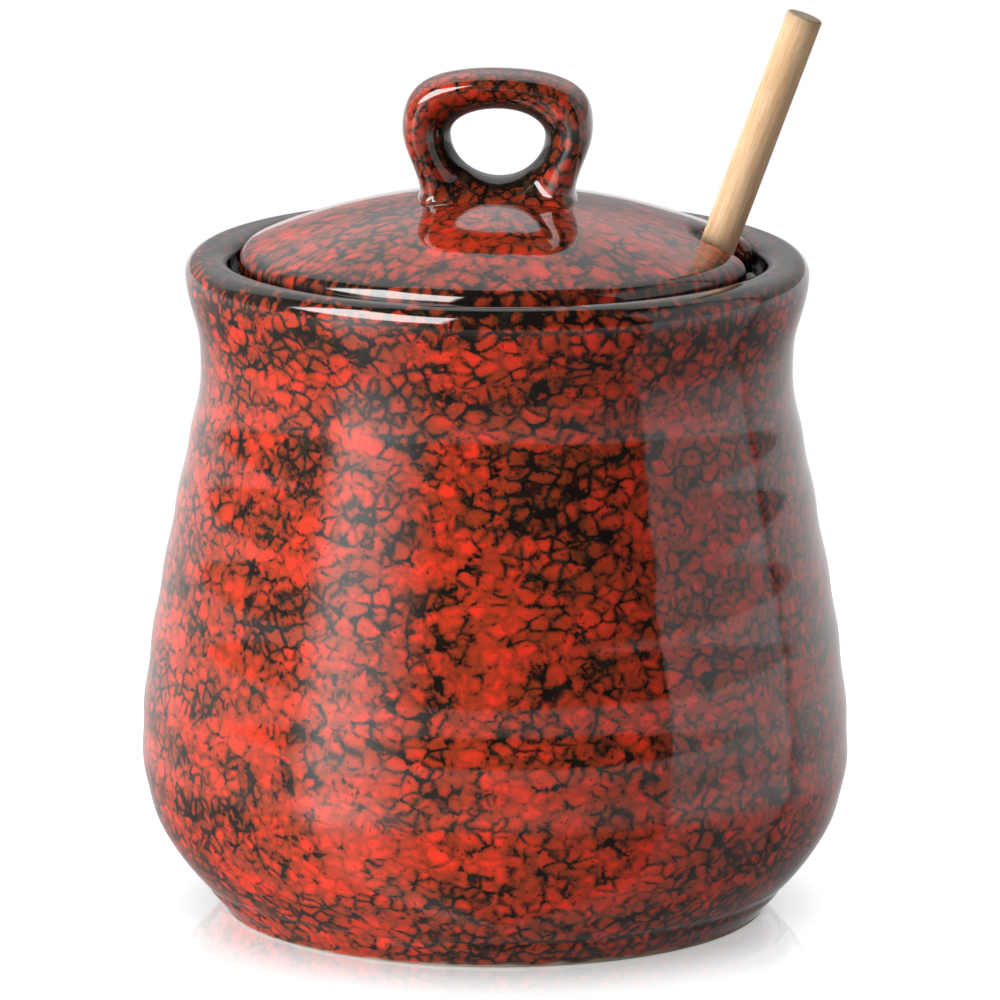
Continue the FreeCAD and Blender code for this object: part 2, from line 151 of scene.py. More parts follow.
# Red glaze that breaks to brown and black on the borders of its blobs and most where they meet.
# Lengths are in millimetres; each recipe weighs the parts of the pattern, then steps them at its edge
glaze = {
    "scale": 1.0, "flow": 0,
    "broad": 3.3, "broadFlat": 1.4, "fine": 2.4, "fineFlat": 0.9, "zone": 15, "zoneEdge": (0.49, 0.53),
    "sway": 2.6, "swaySize": 4.0, "curl": 0.8, "curlSize": 1.2,
    "blend": 0.4, "reach": 1.05, "meet": (0.35, 0.85),
    "patch": 13.0, "patchFlat": 2.2, "patchInk": 1.2, "thin": 0.0,
    "stroke": 2.6, "lively": 4.4, "grain": 0.8, "speck": 0.8, "ground": 3.2, "groundEdge": (0.46, 0.72),
    "tone": {"of": {"cell": 0.8, "lively": 2.2, "patches": 2.6, "grain": 0.9}, "start": 0.40},
    "haze": {"of": {"edge": 0.75, "heavyAndShade": 1.0, "strokes": 1.0, "grain": 1.4}, "start": 0.12},
    "line": {"of": {"border": 1.0, "grain": 1.1, "heavyAndShade": -0.15}, "edge": (0.0, 0.58)},
    "drawn": {"of": {"strokes": 1.4, "heavyAndShade": 1.0, "grain": 0.6}, "edge": (-0.16, 0.10)},
    "blot": {"of": {"meeting": 0.8, "strokes": 1.8, "heavyAndShade": 1.0, "grain": 1.8}, "edge": (0.74, 1.06)},
    "dots": {"of": {"specks": 1.0, "heavyAndShade": 0.12}, "edge": (0.64, 0.72)},
    # this recipe turns high values of the painted layer black: black glaze at the lip and clouds, and
    # painted shade inside the jar, on the lid's side and in the loop's hole
    "poolAndShade": {"of": {"heavyAndShade": 1.0}, "edge": (0.6, 1.0)},
    "hazeShare": 0.92, "lineShare": 0.92, "blotShare": 0.9, "dotShare": 0.7,
    "black": (0.009, 0.006, 0.005), "moss": (0.026, 0.020, 0.012),
    "brown": (0.15, 0.031, 0.012), "deepRed": (0.36, 0.038, 0.012), "red": (0.80, 0.038, 0.016),
    "clay": (0.52, 0.43, 0.33), "clayDark": (0.36, 0.28, 0.20), "clayGrain": 0.5,
    "gloss": 0.06, "bareRough": 0.6, "coat": 0.25, "coatGloss": 0.03, "bump": 0.08, "wave": 2.6,
}
evenGlaze = {**glaze, "broadFlat": 1.0, "fineFlat": 1.0, "patchFlat": 1.0}
domeGlaze = {
    **evenGlaze, "scale": 1.1, "flow": 37, "gather": 0.6, "fall": 0.45,
    "sway": 2.2, "curl": 0.7, "thin": 0.01,
}
handleGlaze = {
    **evenGlaze, "scale": 0.78, "thin": -0.19, "reach": 1.4, "line": {**glaze["line"], "edge": (0.0, 0.40)},
    "moss": (0.05, 0.034, 0.018),
}


# lays the pattern over a dome, where glaze runs down from the middle
def domeSpot(start, spot, look):
    x, y, z = coordinates(start, spot)
    squared = x * x + y * y
    radius = squared.sum("SQRT", squared)
    spread = radius.sum("POWER", radius / look["flow"], look["gather"]) / radius * look["flow"]
    around = {0: x * spread, 1: y * spread, 2: (radius - z) * look["fall"]}
    return start.node("ShaderNodeCombineXYZ", {}, around)


# noise that pushes a place about
def wander(spot, size, detail, far):
    return spot.noise(size, detail, "Color").moved((-0.5, -0.5, -0.5)).scaled((far, far, far))


# blobs of two sizes, each size in its own zones
def glazeBlobs(start, spot, look):
    sway = wander(spot, look["swaySize"], 1, look["sway"])
    curl = wander(spot, look["curlSize"], 2, look["curl"])
    bent = spot.moved(sway).moved(curl)
    zone = spot.noise(look["zone"], 2).step(*look["zoneEdge"])
    border, far, cell = 0, 0, 0
    kinds = [(look["broad"], look["broadFlat"], 1 - zone), (look["fine"], look["fineFlat"], zone)]
    for size, flat, share in kinds:
        place = bent.moved((size, 7 * size, 0)).scaled((1, 1, flat))
        border = place.cells(size, "DISTANCE_TO_EDGE") * size * share + border
        far = place.cells(size, "F1") * share + far
        colour = place.cells(size, "SMOOTH_F1", "Color", {"Smoothness": look["blend"]})
        cell = coordinates(start, colour)[0] * share + cell
    return {
        "border": border, "cell": cell - 0.5,
        "edge": 1 - border.step(0.0, look["reach"]), "meeting": far.step(*look["meet"]),
    }


# the blobs and the noises over them, which are moved apart so that none follows another
def glazeParts(start, spot, look):
    flat = (1, 1, look["patchFlat"])
    parts = glazeBlobs(start, spot, look)
    parts["patches"] = spot.moved((90, 3, 60)).scaled(flat).noise(look["patch"], 3, "Fac", 0.6) - 0.5
    parts["strokes"] = spot.moved((4, 62, 9)).noise(look["stroke"], 2) - 0.5
    parts["lively"] = spot.moved((40, 11, 2)).scaled(flat).noise(look["lively"], 2) - 0.5
    parts["grain"] = spot.noise(look["grain"], 3, "Fac", 0.65) - 0.5
    parts["specks"] = spot.moved((77, 1, 4)).noise(look["speck"], 1)
    # the painted layer read here holds black glaze and also painted shade: black inside the jar, on the
    # lid's side and underside, and around the loop's hole
    parts["heavyAndShade"] = painted(start, "inkAndShade") - parts["patches"] * look["patchInk"] - look["thin"]
    return parts


def gathered(parts, recipe):
    total = sum(parts[name] * weight for name, weight in recipe["of"].items())
    return total.step(*recipe["edge"]) if "edge" in recipe else (total + recipe["start"]).clamp()


def glazeMaterial(name, look):
    material, start = newMaterial(name)
    spot = millimetres(start)
    if look["flow"]:
        spot = domeSpot(start, spot, look)
    spot = spot.scaled((1 / look["scale"],) * 3)
    parts = glazeParts(start, spot, look)
    colour = gathered(parts, look["tone"]).mix(look["deepRed"], look["red"])
    colour = (gathered(parts, look["haze"]) * look["hazeShare"]).mix(colour, look["brown"])
    lines = (1 - gathered(parts, look["line"])) * gathered(parts, look["drawn"]) * look["lineShare"]
    blots = gathered(parts, look["blot"]) * look["blotShare"]
    dots = gathered(parts, look["dots"]) * look["dotShare"]
    dark = (lines + blots + dots + gathered(parts, look["poolAndShade"])).clamp()
    ground = spot.moved((2, 8, 33)).noise(look["ground"], 4, "Fac", 0.65).step(*look["groundEdge"])
    colour = dark.mix(colour, ground.mix(look["black"], look["moss"]))
    bare = painted(start, "bare")
    clay = spot.noise(look["clayGrain"], 3).mix(look["clayDark"], look["clay"])
    finishMaterial(start, {
        "Base Color": bare.mix(colour, clay),
        "Roughness": look["gloss"] + bare * look["bareRough"],
        "Normal": bumped(start, look["bump"], spot.noise(look["wave"], 2)),
        "Coat Weight": look["coat"] - bare * look["coat"],
        "Coat Roughness": look["coatGloss"],
    })
    return material


potGlaze = glazeMaterial("potGlaze", glaze)
lidGlaze = glazeMaterial("lidGlaze", domeGlaze)
loopGlaze = glazeMaterial("loopGlaze", handleGlaze)
print("glazes mixed")


# Shapes

def closeUp(shape):
    bmesh.ops.remove_doubles(shape, verts=shape.verts, dist=0.004 * mm)
    bmesh.ops.recalc_face_normals(shape, faces=shape.faces)


def lathe(points, steps):
    shape = bmesh.new()
    verts = [shape.verts.new((radius * mm, 0, height * mm)) for radius, height in points]
    edges = [shape.edges.new(pair) for pair in zip(verts, verts[1:])]
    bmesh.ops.spin(shape, geom=verts + edges, axis=(0, 0, 1), angle=2 * math.pi, steps=steps, use_merge=True)
    closeUp(shape)
    return shape


# runs of two points are straight, runs of four are curves with their handles
def trace(runs):
    line = []
    for run, count in runs:
        points = [Vector((*point, 0)) for point in run]
        if len(points) == 2:
            made = [points[0].lerp(points[1], i / count) for i in range(count + 1)]
        else:
            made = interpolate_bezier(*points, count + 1)
        line += [(point.x, point.y) for point in made[1 if line else 0:]]
    return line


# a quarter round from one point to the other, leaving along the first axis or the second
def quarter(start, end, leaveSide):
    k = 0.5523
    across, up = (end[0] - start[0]) * k, (end[1] - start[1]) * k
    if leaveSide:
        return (start, (start[0] + across, start[1]), (end[0], end[1] - up), end)
    return (start, (start[0], start[1] + up), (end[0] - across, end[1]), end)


def ease(value, low, high):
    t = min(max((value - low) / (high - low), 0), 1)
    return t * t * (3 - 2 * t)


def addPiece(name, shape, material, body, node, paint):
    mesh = bpy.data.meshes.new(name)
    shape.to_mesh(mesh)
    shape.free()
    mesh.shade_smooth()
    for layer, worth in paint.items():
        data = mesh.attributes.new(layer, "FLOAT", "POINT").data
        data.foreach_set("value", [worth(vertex.co / mm) for vertex in mesh.vertices])
    mesh.materials.append(material)
    piece = bpy.data.objects.new(name, mesh)
    scene.collection.objects.link(piece)
    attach(piece, body)
    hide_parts(node)
    print(name, "made:", len(mesh.polygons), "faces")


def unpainted(spot):
    return 0.0


# Jar: points are radius and height, Pull, Low and High points are the handles of its curves
jar = {
    "under": (39.0, 1.0), "footInner": ((39.7, 0.3), (40.2, 0.0)), "foot": 45.4, "footRound": 0.6,
    "footTop": (48.4, 4.2), "footBead": ((-0.4, -0.6), (0, 0), (-0.1, 0.7)),
    "wallStart": (49.8, 5.8), "wallPull": (55.26, 11.65),
    "bellyLow": (58.9, 18.0), "belly": (58.9, 28.0), "bellyHigh": (58.9, 47.6),
    "waistLow": (49.0, 85.6), "waist": (49.0, 91.0), "waistHigh": (49.0, 99.2),
    "rimLow": (51.7, 102.7), "rim": (51.7, 107.3), "crest": (48.3, 110.7),
    "galleryTop": (44.35, 108.0), "gallery": 44.0, "galleryFillet": 0.8, "ledge": 105.0,
    "mouth": 37.0, "mouthRound": 1.2, "mouthBase": 101.0, "mouthPull": (40.5, 98.6),
    "neckHigh": (44.0, 95.0), "neck": (44.0, 91.0), "neckLow": (44.0, 85.6),
    "hollowHigh": (53.9, 47.6), "hollow": (53.9, 28.0), "hollowLow": (53.9, 16.0),
    "floorPull": (48.0, 5.5), "floor": (36.0, 5.5), "steps": 240, "skin": 2.4,
    "unevenFrom": 6, "ringPitch": 11.2, "ringDepth": 0.11, "ringWander": 2.2, "ringWanderLength": 23,
    "ringStart": (9, 22), "ringEnd": (96, 104), "lump": 0.10, "lumpWide": 19, "lumpHigh": 12,
    "shadeInside": 0.8, "inkBands": ((90, 104, 0.13), (104, 108, 0.16), (108.5, 110.6, 0.4)),
    "groove": 4.9, "grooveReach": (0.3, 1.6), "grooveDark": 0.12, "cloudFade": (0.4, 1.3),
    "wiped": 0.45, "wipedLean": 0.25, "wipedSoft": 0.2, "wipedWaver": 0.35, "wipedWaverSize": 3,
}

# darker and brighter places on the wall: azimuth, height, half width in degrees, half height, strength
jarClouds = [
    (17, 78, 17, 10, 0.21), (-34, 86, 9, 9, 0.16), (-37, 57, 8, 8, 0.15), (-9, 94, 14, 6, 0.10),
    (9, 42, 5, 4, 0.15), (1, 52, 8, 11, -0.16), (-22, 86, 5, 5, -0.12), (-20, 22, 15, 12, -0.14),
    (8, 33, 16, 4, -0.10), (-40, 44, 8, 10, -0.16),
]


def jarUnder(size):
    inner, outer = size["footInner"]
    return [
        (((0, size["under"][1]), size["under"]), 4),
        ((size["under"], inner), 2),
        (quarter(inner, outer, False), 2),
        ((outer, (size["foot"] - size["footRound"], 0)), 4),
    ]


def jarOutside(size):
    foot, bend = size["foot"], size["footRound"]
    bead = [(size["footTop"][0] + across, size["footTop"][1] + up) for across, up in size["footBead"]]
    return [
        (quarter((foot - bend, 0), (foot, bend), True), 4),
        (((foot, bend), bead[0]), 5),
        ((*bead, size["wallStart"]), 11),
        ((size["wallStart"], size["wallPull"], size["bellyLow"], size["belly"]), 26),
        ((size["belly"], size["bellyHigh"], size["waistLow"], size["waist"]), 64),
        ((size["waist"], size["waistHigh"], size["rimLow"], size["rim"]), 20),
    ]


def jarInside(size):
    gallery, ledge, fillet = size["gallery"], size["ledge"], size["galleryFillet"]
    mouth, bend, base = size["mouth"], size["mouthRound"], size["mouthBase"]
    return [
        (quarter(size["rim"], size["crest"], False), 10),
        (quarter(size["crest"], size["galleryTop"], True), 8),
        ((size["galleryTop"], (gallery, ledge + fillet)), 4),
        (quarter((gallery, ledge + fillet), (gallery - fillet, ledge), False), 4),
        (((gallery - fillet, ledge), (mouth + bend, ledge)), 4),
        (quarter((mouth + bend, ledge), (mouth, ledge - bend), True), 5),
        (((mouth, ledge - bend), (mouth, base)), 3),
        (((mouth, base), size["mouthPull"], size["neckHigh"], size["neck"]), 10),
        ((size["neck"], size["neckLow"], size["hollowHigh"], size["hollow"]), 30),
        ((size["hollow"], size["hollowLow"], size["floorPull"], size["floor"]), 16),
        ((size["floor"], (0, size["floor"][1])), 6),
    ]


jarWall = sorted((height, radius) for radius, height in trace(jarOutside(jar)))


def outsideJar(spot):
    near = jarWall[min(bisect.bisect(jarWall, (spot.z, 0)), len(jarWall) - 1)]
    return spot.z < jar["rim"][1] and math.hypot(spot.x, spot.y) > near[1] - jar["skin"]


# how far a throwing ring stands out at a height
def throwingRing(height, size):
    strayed = height + size["ringWander"] * noise.noise((0, 3.7, height / size["ringWanderLength"]))
    fade = ease(height, *size["ringStart"]) * (1 - ease(height, *size["ringEnd"]))
    return size["ringDepth"] * fade * math.sin(2 * math.pi * strayed / size["ringPitch"])


jarShape = lathe(trace(jarUnder(jar) + jarOutside(jar) + jarInside(jar)), jar["steps"])
for vertex in jarShape.verts:
    spot = vertex.co / mm
    if outsideJar(spot) and spot.z > jar["unevenFrom"]:
        out = Vector((spot.x, spot.y, 0)).normalized()
        place = Vector((spot.x / jar["lumpWide"], spot.y / jar["lumpWide"], spot.z / jar["lumpHigh"]))
        vertex.co += out * (throwingRing(spot.z, jar) + jar["lump"] * noise.noise(place)) * mm


def cloudInk(spot):
    azimuth = math.degrees(math.atan2(spot.x, -spot.y))
    total = 0
    for middle, height, wide, high, strength in jarClouds:
        reach = math.hypot((azimuth - middle) / wide, (spot.z - height) / high)
        total += strength * (1 - ease(reach, *jar["cloudFade"]))
    return total


# black glaze on the lip bands and in the clouds, and painted shade: the inside of the jar and its gallery
# are made fully black
def jarInkAndShade(spot):
    inRim = math.hypot(spot.x, spot.y) < jar["gallery"] + jar["shadeInside"]
    if inRim or spot.z < jar["rim"][1] and not outsideJar(spot):
        return 1.0
    bands = sum(ease(spot.z, low, high) * strength for low, high, strength in jar["inkBands"])
    # darker along the groove above the foot
    groove = jar["grooveDark"] * (1 - ease(abs(spot.z - jar["groove"]), *jar["grooveReach"]))
    return bands + groove + cloudInk(spot)


# the foot is wiped clean, a little higher on one side
def jarBare(spot):
    wiped = jar["wiped"] + jar["wipedLean"] * spot.x / jar["foot"]
    waver = jar["wipedWaver"] * noise.noise(spot / jar["wipedWaverSize"])
    return 1 - ease(spot.z + waver, wiped - jar["wipedSoft"], wiped + jar["wipedSoft"])


addPiece("potJar", jarShape, potGlaze, "jar", "jar", {"inkAndShade": jarInkAndShade, "bare": jarBare})


# Lid, heights from the table in millimetres
lid = {
    "radius": 42.7, "crown": 120.5, "domeRadius": 103.7, "seat": 105.2, "seatRound": 0.7, "thick": 5.0,
    "shoulder": 1.8, "ringOuter": 36.2, "ringInner": 33.2, "ringBottom": 99.2,
    "ringRound": 1.0, "ringCorner": 0.4,
    "ceiling": 32.0, "ceilingRadii": (28, 24, 18, 12, 6, 0), "ceilingRound": 1.0,
    "notchInner": 31.97, "notchHalf": 6.0, "notchCorner": 2.6, "notchShare": 0.12,
    "besideNotch": 0.98, "pastNotch": 0.012, "rim": 2.2, "still": 24.0, "steps": 260,
    "uneven": 0.10, "unevenSize": 14, "unevenFrom": 110,
    "shadeBelow": (2.2, 3.6), "inkEdge": (38, 42), "edgeInk": 0.28, "bareTop": (99.5, 100.0),
}


def domeHeight(radius):
    return lid["crown"] - lid["domeRadius"] + math.sqrt(lid["domeRadius"] ** 2 - radius ** 2)


def lidProfile(size):
    edge, seat, drop, still = size["radius"], size["seat"], size["shoulder"], size["still"]
    span = edge - drop - still
    radii = [still * i / 8 for i in range(9)] + [still + span * i / 9 for i in range(1, 10)]
    top = [(radius, domeHeight(radius)) for radius in radii]
    for i in range(1, 9):
        angle = math.pi / 2 * i / 8
        inset = drop * (1 - math.sin(angle))
        top.append((edge - inset, domeHeight(edge - inset) - drop * (1 - math.cos(angle))))
    low = top[-1][1]
    outer, inner, bottom = size["ringOuter"], size["ringInner"], size["ringBottom"]
    bend, corner, turn, rise = size["seatRound"], size["ringCorner"], size["ringRound"], size["ceilingRound"]
    under = size["domeRadius"] - size["thick"]
    middle = size["crown"] - size["thick"] - under
    ceiling = [(radius, middle + math.sqrt(under ** 2 - radius ** 2))
               for radius in (size["ceiling"], *size["ceilingRadii"])]
    return top + trace([
        (((edge, low), (edge, seat + bend)), 4),
        (quarter((edge, seat + bend), (edge - bend, seat), False), 4),
        (((edge - bend, seat), (outer + corner, seat)), 3),
        (quarter((outer + corner, seat), (outer, seat - corner), True), 2),
        (((outer, seat - corner), (outer, bottom + turn)), 3),
        (quarter((outer, bottom + turn), (outer - turn, bottom), False), 4),
        (((outer - turn, bottom), (inner + turn, bottom)), 2),
        (quarter((inner + turn, bottom), (inner, bottom + turn), True), 4),
        (((inner, bottom + turn), (inner, ceiling[0][1] - rise)), 4),
        (quarter((inner, ceiling[0][1] - rise), ceiling[0], False), 4),
    ])[1:] + ceiling[1:]


# the lid's edge seen from above: a point, the way out of the clay there, and the spoke's angle further in
def lidEdge(turn, size):
    half, corner, edge = size["notchHalf"], size["notchCorner"], size["radius"]
    middle = size["notchInner"] + half
    cornerY = half + corner
    cornerX = math.sqrt((edge - corner) ** 2 - cornerY ** 2)
    lastAngle = math.atan2(cornerY, cornerX)
    inEnd, side, atCorner = half * math.pi / 2, cornerX - middle, corner * (math.pi / 2 + lastAngle)
    share, notchShare = abs(turn), size["notchShare"]
    if share >= notchShare:
        angle = lastAngle + (share - notchShare) / (0.5 - notchShare) * (math.pi - lastAngle)
        out = Vector((math.cos(angle), math.sin(angle)))
        point = out * edge
    else:
        angle = share / notchShare * lastAngle
        walked = share / notchShare * (inEnd + side + atCorner)
        if walked < inEnd:
            way = math.pi - walked / half
            out = -Vector((math.cos(way), math.sin(way)))
            point = Vector((middle, 0)) - out * half
        elif walked < inEnd + side:
            out = Vector((0, -1))
            point = Vector((middle + walked - inEnd, half))
        else:
            way = -math.pi / 2 + (walked - inEnd - side) / corner
            out = Vector((math.cos(way), math.sin(way)))
            point = Vector((cornerX, cornerY)) + out * corner
    mirror = Vector((1, 1 if turn >= 0 else -1))
    return point * mirror, out * mirror, angle * mirror.y


# moves a round lid's vertex so that its edge follows the notch and the ring stops beside it
def notched(spot, size):
    radius, turn = math.hypot(spot.x, spot.y), math.atan2(spot.y, spot.x) / (2 * math.pi)
    point, out, angle = lidEdge(turn, size)
    inset = size["radius"] - radius
    spoke = Vector((math.cos(angle), math.sin(angle)))
    if inset <= size["rim"]:
        flat = point - out * inset
    elif radius > size["still"]:
        share = (radius - size["still"]) / (size["radius"] - size["rim"] - size["still"])
        flat = (spoke * size["still"]).lerp(point - out * size["rim"], share)
    else:
        flat = spoke * radius
    depth = domeHeight(radius) - spot.z
    notchShare = size["notchShare"]
    beside = 1 - ease(abs(turn), notchShare * size["besideNotch"], notchShare + size["pastNotch"])
    depth += (min(depth, size["thick"]) - depth) * beside
    return Vector((flat.x, flat.y, domeHeight(flat.length) - depth))


lidShape = lathe(lidProfile(lid), lid["steps"])
for vertex in lidShape.verts:
    spot = notched(vertex.co / mm, lid)
    if spot.z > lid["unevenFrom"]:
        place = Vector((spot.x / lid["unevenSize"], spot.y / lid["unevenSize"], 8))
        spot.z += lid["uneven"] * noise.noise(place)
    vertex.co = spot * mm
closeUp(lidShape)


# painted shade: the lid's side and underside, below its dome's top, are made black; its outer edge breaks
# darker in the glaze
def lidInkAndShade(spot):
    radius = math.hypot(spot.x, spot.y)
    below = domeHeight(min(radius, lid["radius"])) - spot.z
    return max(ease(below, *lid["shadeBelow"]), lid["edgeInk"] * ease(radius, *lid["inkEdge"]))


def lidBare(spot):
    return 1 - ease(spot.z, *lid["bareTop"])


addPiece("potLid", lidShape, lidGlaze, "lid", "lid", {"inkAndShade": lidInkAndShade, "bare": lidBare})


# Loop on the lid: x and height above its seat, in millimetres
loop = {
    "seat": 119.5, "middle": 10.4, "depth": 6.5, "square": 2.05, "egg": 0.34,
    "outside": [
        ((12.5, -1.6), (12.5, 5.0), (15.75, 8.0), (15.75, 12.5)),
        ((15.75, 12.5), (15.75, 19.6), (10.9, 21.8), (0, 21.8)),
    ],
    "hole": [
        ((0, 4.0), (4.3, 4.0), (7.85, 7.2), (7.85, 11.2)),
        ((7.85, 11.2), (7.85, 13.5), (4.3, 15.3), (0, 15.3)),
    ],
    "flare": 0.9, "flareHeight": 2.6, "flareWide": 8, "flareDeep": 1.5, "innerSide": -0.2,
    "stations": 120, "section": 36, "sectionRadius": 3, "waver": 0.16, "waverSize": 7,
    "holeShade": 0.7, "holeShadeReach": (0.8, 3.2),
}


# an angle of the left half, mirrored to the right half
def rightSide(angle):
    return angle if abs(angle) <= math.pi / 2 else math.copysign(math.pi, angle) - angle


# distance from the middle of the hole to an outline, on both sides alike
def outlineReach(outline, size):
    points = [Vector((x, z - size["middle"])) for x, z in trace([(run, 40) for run in outline])]
    table = sorted((math.atan2(point.y, point.x), point.length) for point in points)

    def reach(angle):
        angle = rightSide(angle)
        before = table[0]
        for after in table:
            if after[0] >= angle:
                share = (angle - before[0]) / max(after[0] - before[0], 1e-6)
                return before[1] + (after[1] - before[1]) * min(max(share, 0), 1)
            before = after
        return before[1]

    return reach


outsideReach = outlineReach(loop["outside"], loop)
holeReach = outlineReach(loop["hole"], loop)


def signedPower(value, power):
    return math.copysign(abs(value) ** power, value)


# takes a point of a plain ring to its place on the loop
def loopPoint(spot, size):
    angle = math.atan2(spot.z, spot.x)
    way = math.atan2(spot.y, math.hypot(spot.x, spot.z) - size["middle"] * mm)
    baseX, baseZ = size["outside"][0][0]
    base, side = size["middle"] - baseZ, rightSide(angle)
    inner = holeReach(angle)
    outer = outsideReach(angle) if side > -math.atan2(base, baseX) else base / max(-math.sin(side), 0.2)
    out = signedPower(math.cos(way), 2 / size["square"])
    along = signedPower(math.sin(way), 2 / size["square"])
    reach = (inner + outer) / 2 + out * (outer - inner) / 2
    deep = along * size["depth"] * (1 + size["egg"] * out) / (1 + size["egg"] ** 2 / 2)
    height = size["seat"] + size["middle"] + reach * math.sin(angle)
    point = Vector((reach * math.cos(angle), deep, height))
    above = point.z - domeHeight(math.hypot(point.x, point.y))
    spread = size["flare"] * max(1 - max(above, 0) / size["flareHeight"], 0) ** 3
    if out > size["innerSide"]:
        point.x += math.copysign(spread, point.x) * min(abs(point.x) / size["flareWide"], 1)
    point.y += math.copysign(spread, along) * min(abs(along) * size["flareDeep"], 1)
    return point


loopShape = bmesh.new()
bmesh.ops.create_circle(loopShape, segments=loop["section"], radius=loop["sectionRadius"] * mm)
bmesh.ops.translate(loopShape, verts=loopShape.verts, vec=(loop["middle"] * mm, 0, 0))
bmesh.ops.spin(loopShape, geom=loopShape.verts[:] + loopShape.edges[:], axis=(0, 1, 0), angle=2 * math.pi,
               steps=loop["stations"], use_merge=True)
for vertex in loopShape.verts:
    spot = loopPoint(vertex.co, loop)
    swell = loop["waver"] * noise.noise(spot / loop["waverSize"])
    vertex.co = (spot + Vector((swell, swell, swell * 0.5))) * mm
closeUp(loopShape)


# painted shade: black on the inside of the loop's hole, fading out onto the faces around it
def loopHoleShade(spot):
    middle = Vector((spot.x, 0, spot.z - loop["seat"] - loop["middle"]))
    fromHole = middle.length - holeReach(math.atan2(middle.z, middle.x))
    return loop["holeShade"] * (1 - ease(fromHole, *loop["holeShadeReach"]))


loopPaint = {"inkAndShade": loopHoleShade, "bare": unpainted}
addPiece("lidLoop", loopShape, loopGlaze, "lid", "lid_loop", loopPaint)


# Dipper, its own axis upright before it is leant over
dipper = {
    "lean": math.radians(19.9), "leanReach": 4.5, "restGap": 0.3,
    "length": 152.0, "shaft": 3.0, "shaftRound": 0.4, "shaftSteps": 64, "headSteps": 96,
    "head": 40.0, "endRadius": 8.5, "endRound": 1.5, "endRings": (0, 2, 4, 5.5),
    "bulge": [
        ((8.5, 1.5), (8.5, 6.0), (13, 11), (13, 20)),
        ((13, 20), (13, 29), (7, 35.5), (7, 40)),
    ],
    "core": 6.0, "groove": 3.0, "pitch": 5.6, "grooves": 6, "firstGroove": 3.8, "ribRound": 0.6,
    "socketFloor": 25.0, "socketGap": 0.06, "socketMouth": 0.1, "socketCone": 1.0, "socketLip": 0.2,
    "wobble": 0.05, "wobbleWide": 3, "wobbleLong": 14, "sawn": (0.7, 0.1), "sawnShare": 0.8,
}

# Bare wood: sizes across the grain, and Run is how far each pattern is drawn out along it
wood = {
    "fibre": 0.35, "fibreRun": 0.06, "band": 1.6, "bandRun": 0.05, "fleckSize": 0.8, "fleckRun": 0.22,
    "fibreShare": 0.6, "bandShare": 0.4, "toneEdge": (0.35, 0.66),
    "fleckEdge": (0.20, 0.08), "fleckShare": 0.5,
    "pale": (0.77, 0.55, 0.34), "dark": (0.58, 0.36, 0.19), "fleck": (0.36, 0.19, 0.08),
    "endGrain": (0.30, 0.24, 0.17), "rough": 0.5, "roughFibre": 0.2, "bump": 0.25,
}


def woodMaterial(name, look, lean):
    material, start = newMaterial(name)
    along = start.node("ShaderNodeMapping", {}, {"Vector": millimetres(start), "Rotation": (0, -lean, 0)})
    fibre = along.scaled((1, 1, look["fibreRun"])).noise(look["fibre"], 4, "Fac", 0.6)
    band = along.scaled((1, 1, look["bandRun"])).noise(look["band"], 2)
    fleck = along.scaled((1, 1, look["fleckRun"])).cells(look["fleckSize"], "F1").step(*look["fleckEdge"])
    tone = (fibre * look["fibreShare"] + band * look["bandShare"]).step(*look["toneEdge"])
    colour = tone.mix(look["dark"], look["pale"])
    colour = (fleck * look["fleckShare"]).mix(colour, look["fleck"])
    finishMaterial(start, {
        "Base Color": painted(start, "bare").mix(colour, look["endGrain"]),
        "Roughness": look["rough"] + fibre * look["roughFibre"],
        "Normal": bumped(start, look["bump"], fibre),
    })
    return material


dipperWood = woodMaterial("dipperWood", wood, dipper["lean"])


# the end rests on the jar's floor and the dowel on the edge of its mouth
def dipperPlace(size):
    sine, cosine = math.sin(size["lean"]), math.cos(size["lean"])
    leanX = jar["mouth"] + jar["mouthRound"] - size["leanReach"] * cosine
    leanZ = jar["ledge"] - jar["mouthRound"] + size["leanReach"] * sine
    rise = size["endRound"] * (1 - cosine) + (size["endRadius"] - size["endRound"]) * sine
    restZ = jar["floor"][1] + size["restGap"] + rise
    restX = leanX - (leanZ - restZ) * sine / cosine
    return Matrix.Translation((restX * mm, 0, restZ * mm)) @ Matrix.Rotation(size["lean"], 4, "Y")


headOutline = trace([(run, 39) for run in dipper["bulge"]])


def headRadius(height):
    return min(headOutline, key=lambda point: abs(point[1] - height))[0]


def headProfile(size):
    soft, core, head = size["ribRound"], size["core"], size["head"]
    shaft, floor = size["shaft"], size["socketFloor"]
    cuts = [size["firstGroove"] + i * size["pitch"] for i in range(size["grooves"])]
    line = [(radius, 0) for radius in size["endRings"][:-1]]
    for low, high in zip([0] + [cut + size["groove"] for cut in cuts], cuts + [head]):
        rimLow, rimHigh = headRadius(low + soft), headRadius(high - soft)
        line += trace([
            (((core if low else size["endRings"][-1], low), (rimLow - soft, low)), 3),
            (quarter((rimLow - soft, low), (rimLow, low + soft), True), 3),
            (((rimLow, low + soft), (rimHigh, high - soft)), 3),
            (quarter((rimHigh, high - soft), (rimHigh - soft, high), False), 3),
            (((rimHigh - soft, high), (shaft + size["socketMouth"] if high == head else core, high)), 3),
        ])
    bore = shaft + size["socketGap"]
    lip, cone = head - size["socketLip"], floor + size["socketCone"]
    return line + [(bore, lip), (bore, cone), (shaft, floor), (0, floor)]


headShape = lathe(headProfile(dipper), dipper["headSteps"])
headShape.transform(dipperPlace(dipper))
addPiece("dipperHead", headShape, dipperWood, "dipper", "dipper_head", {"bare": unpainted})


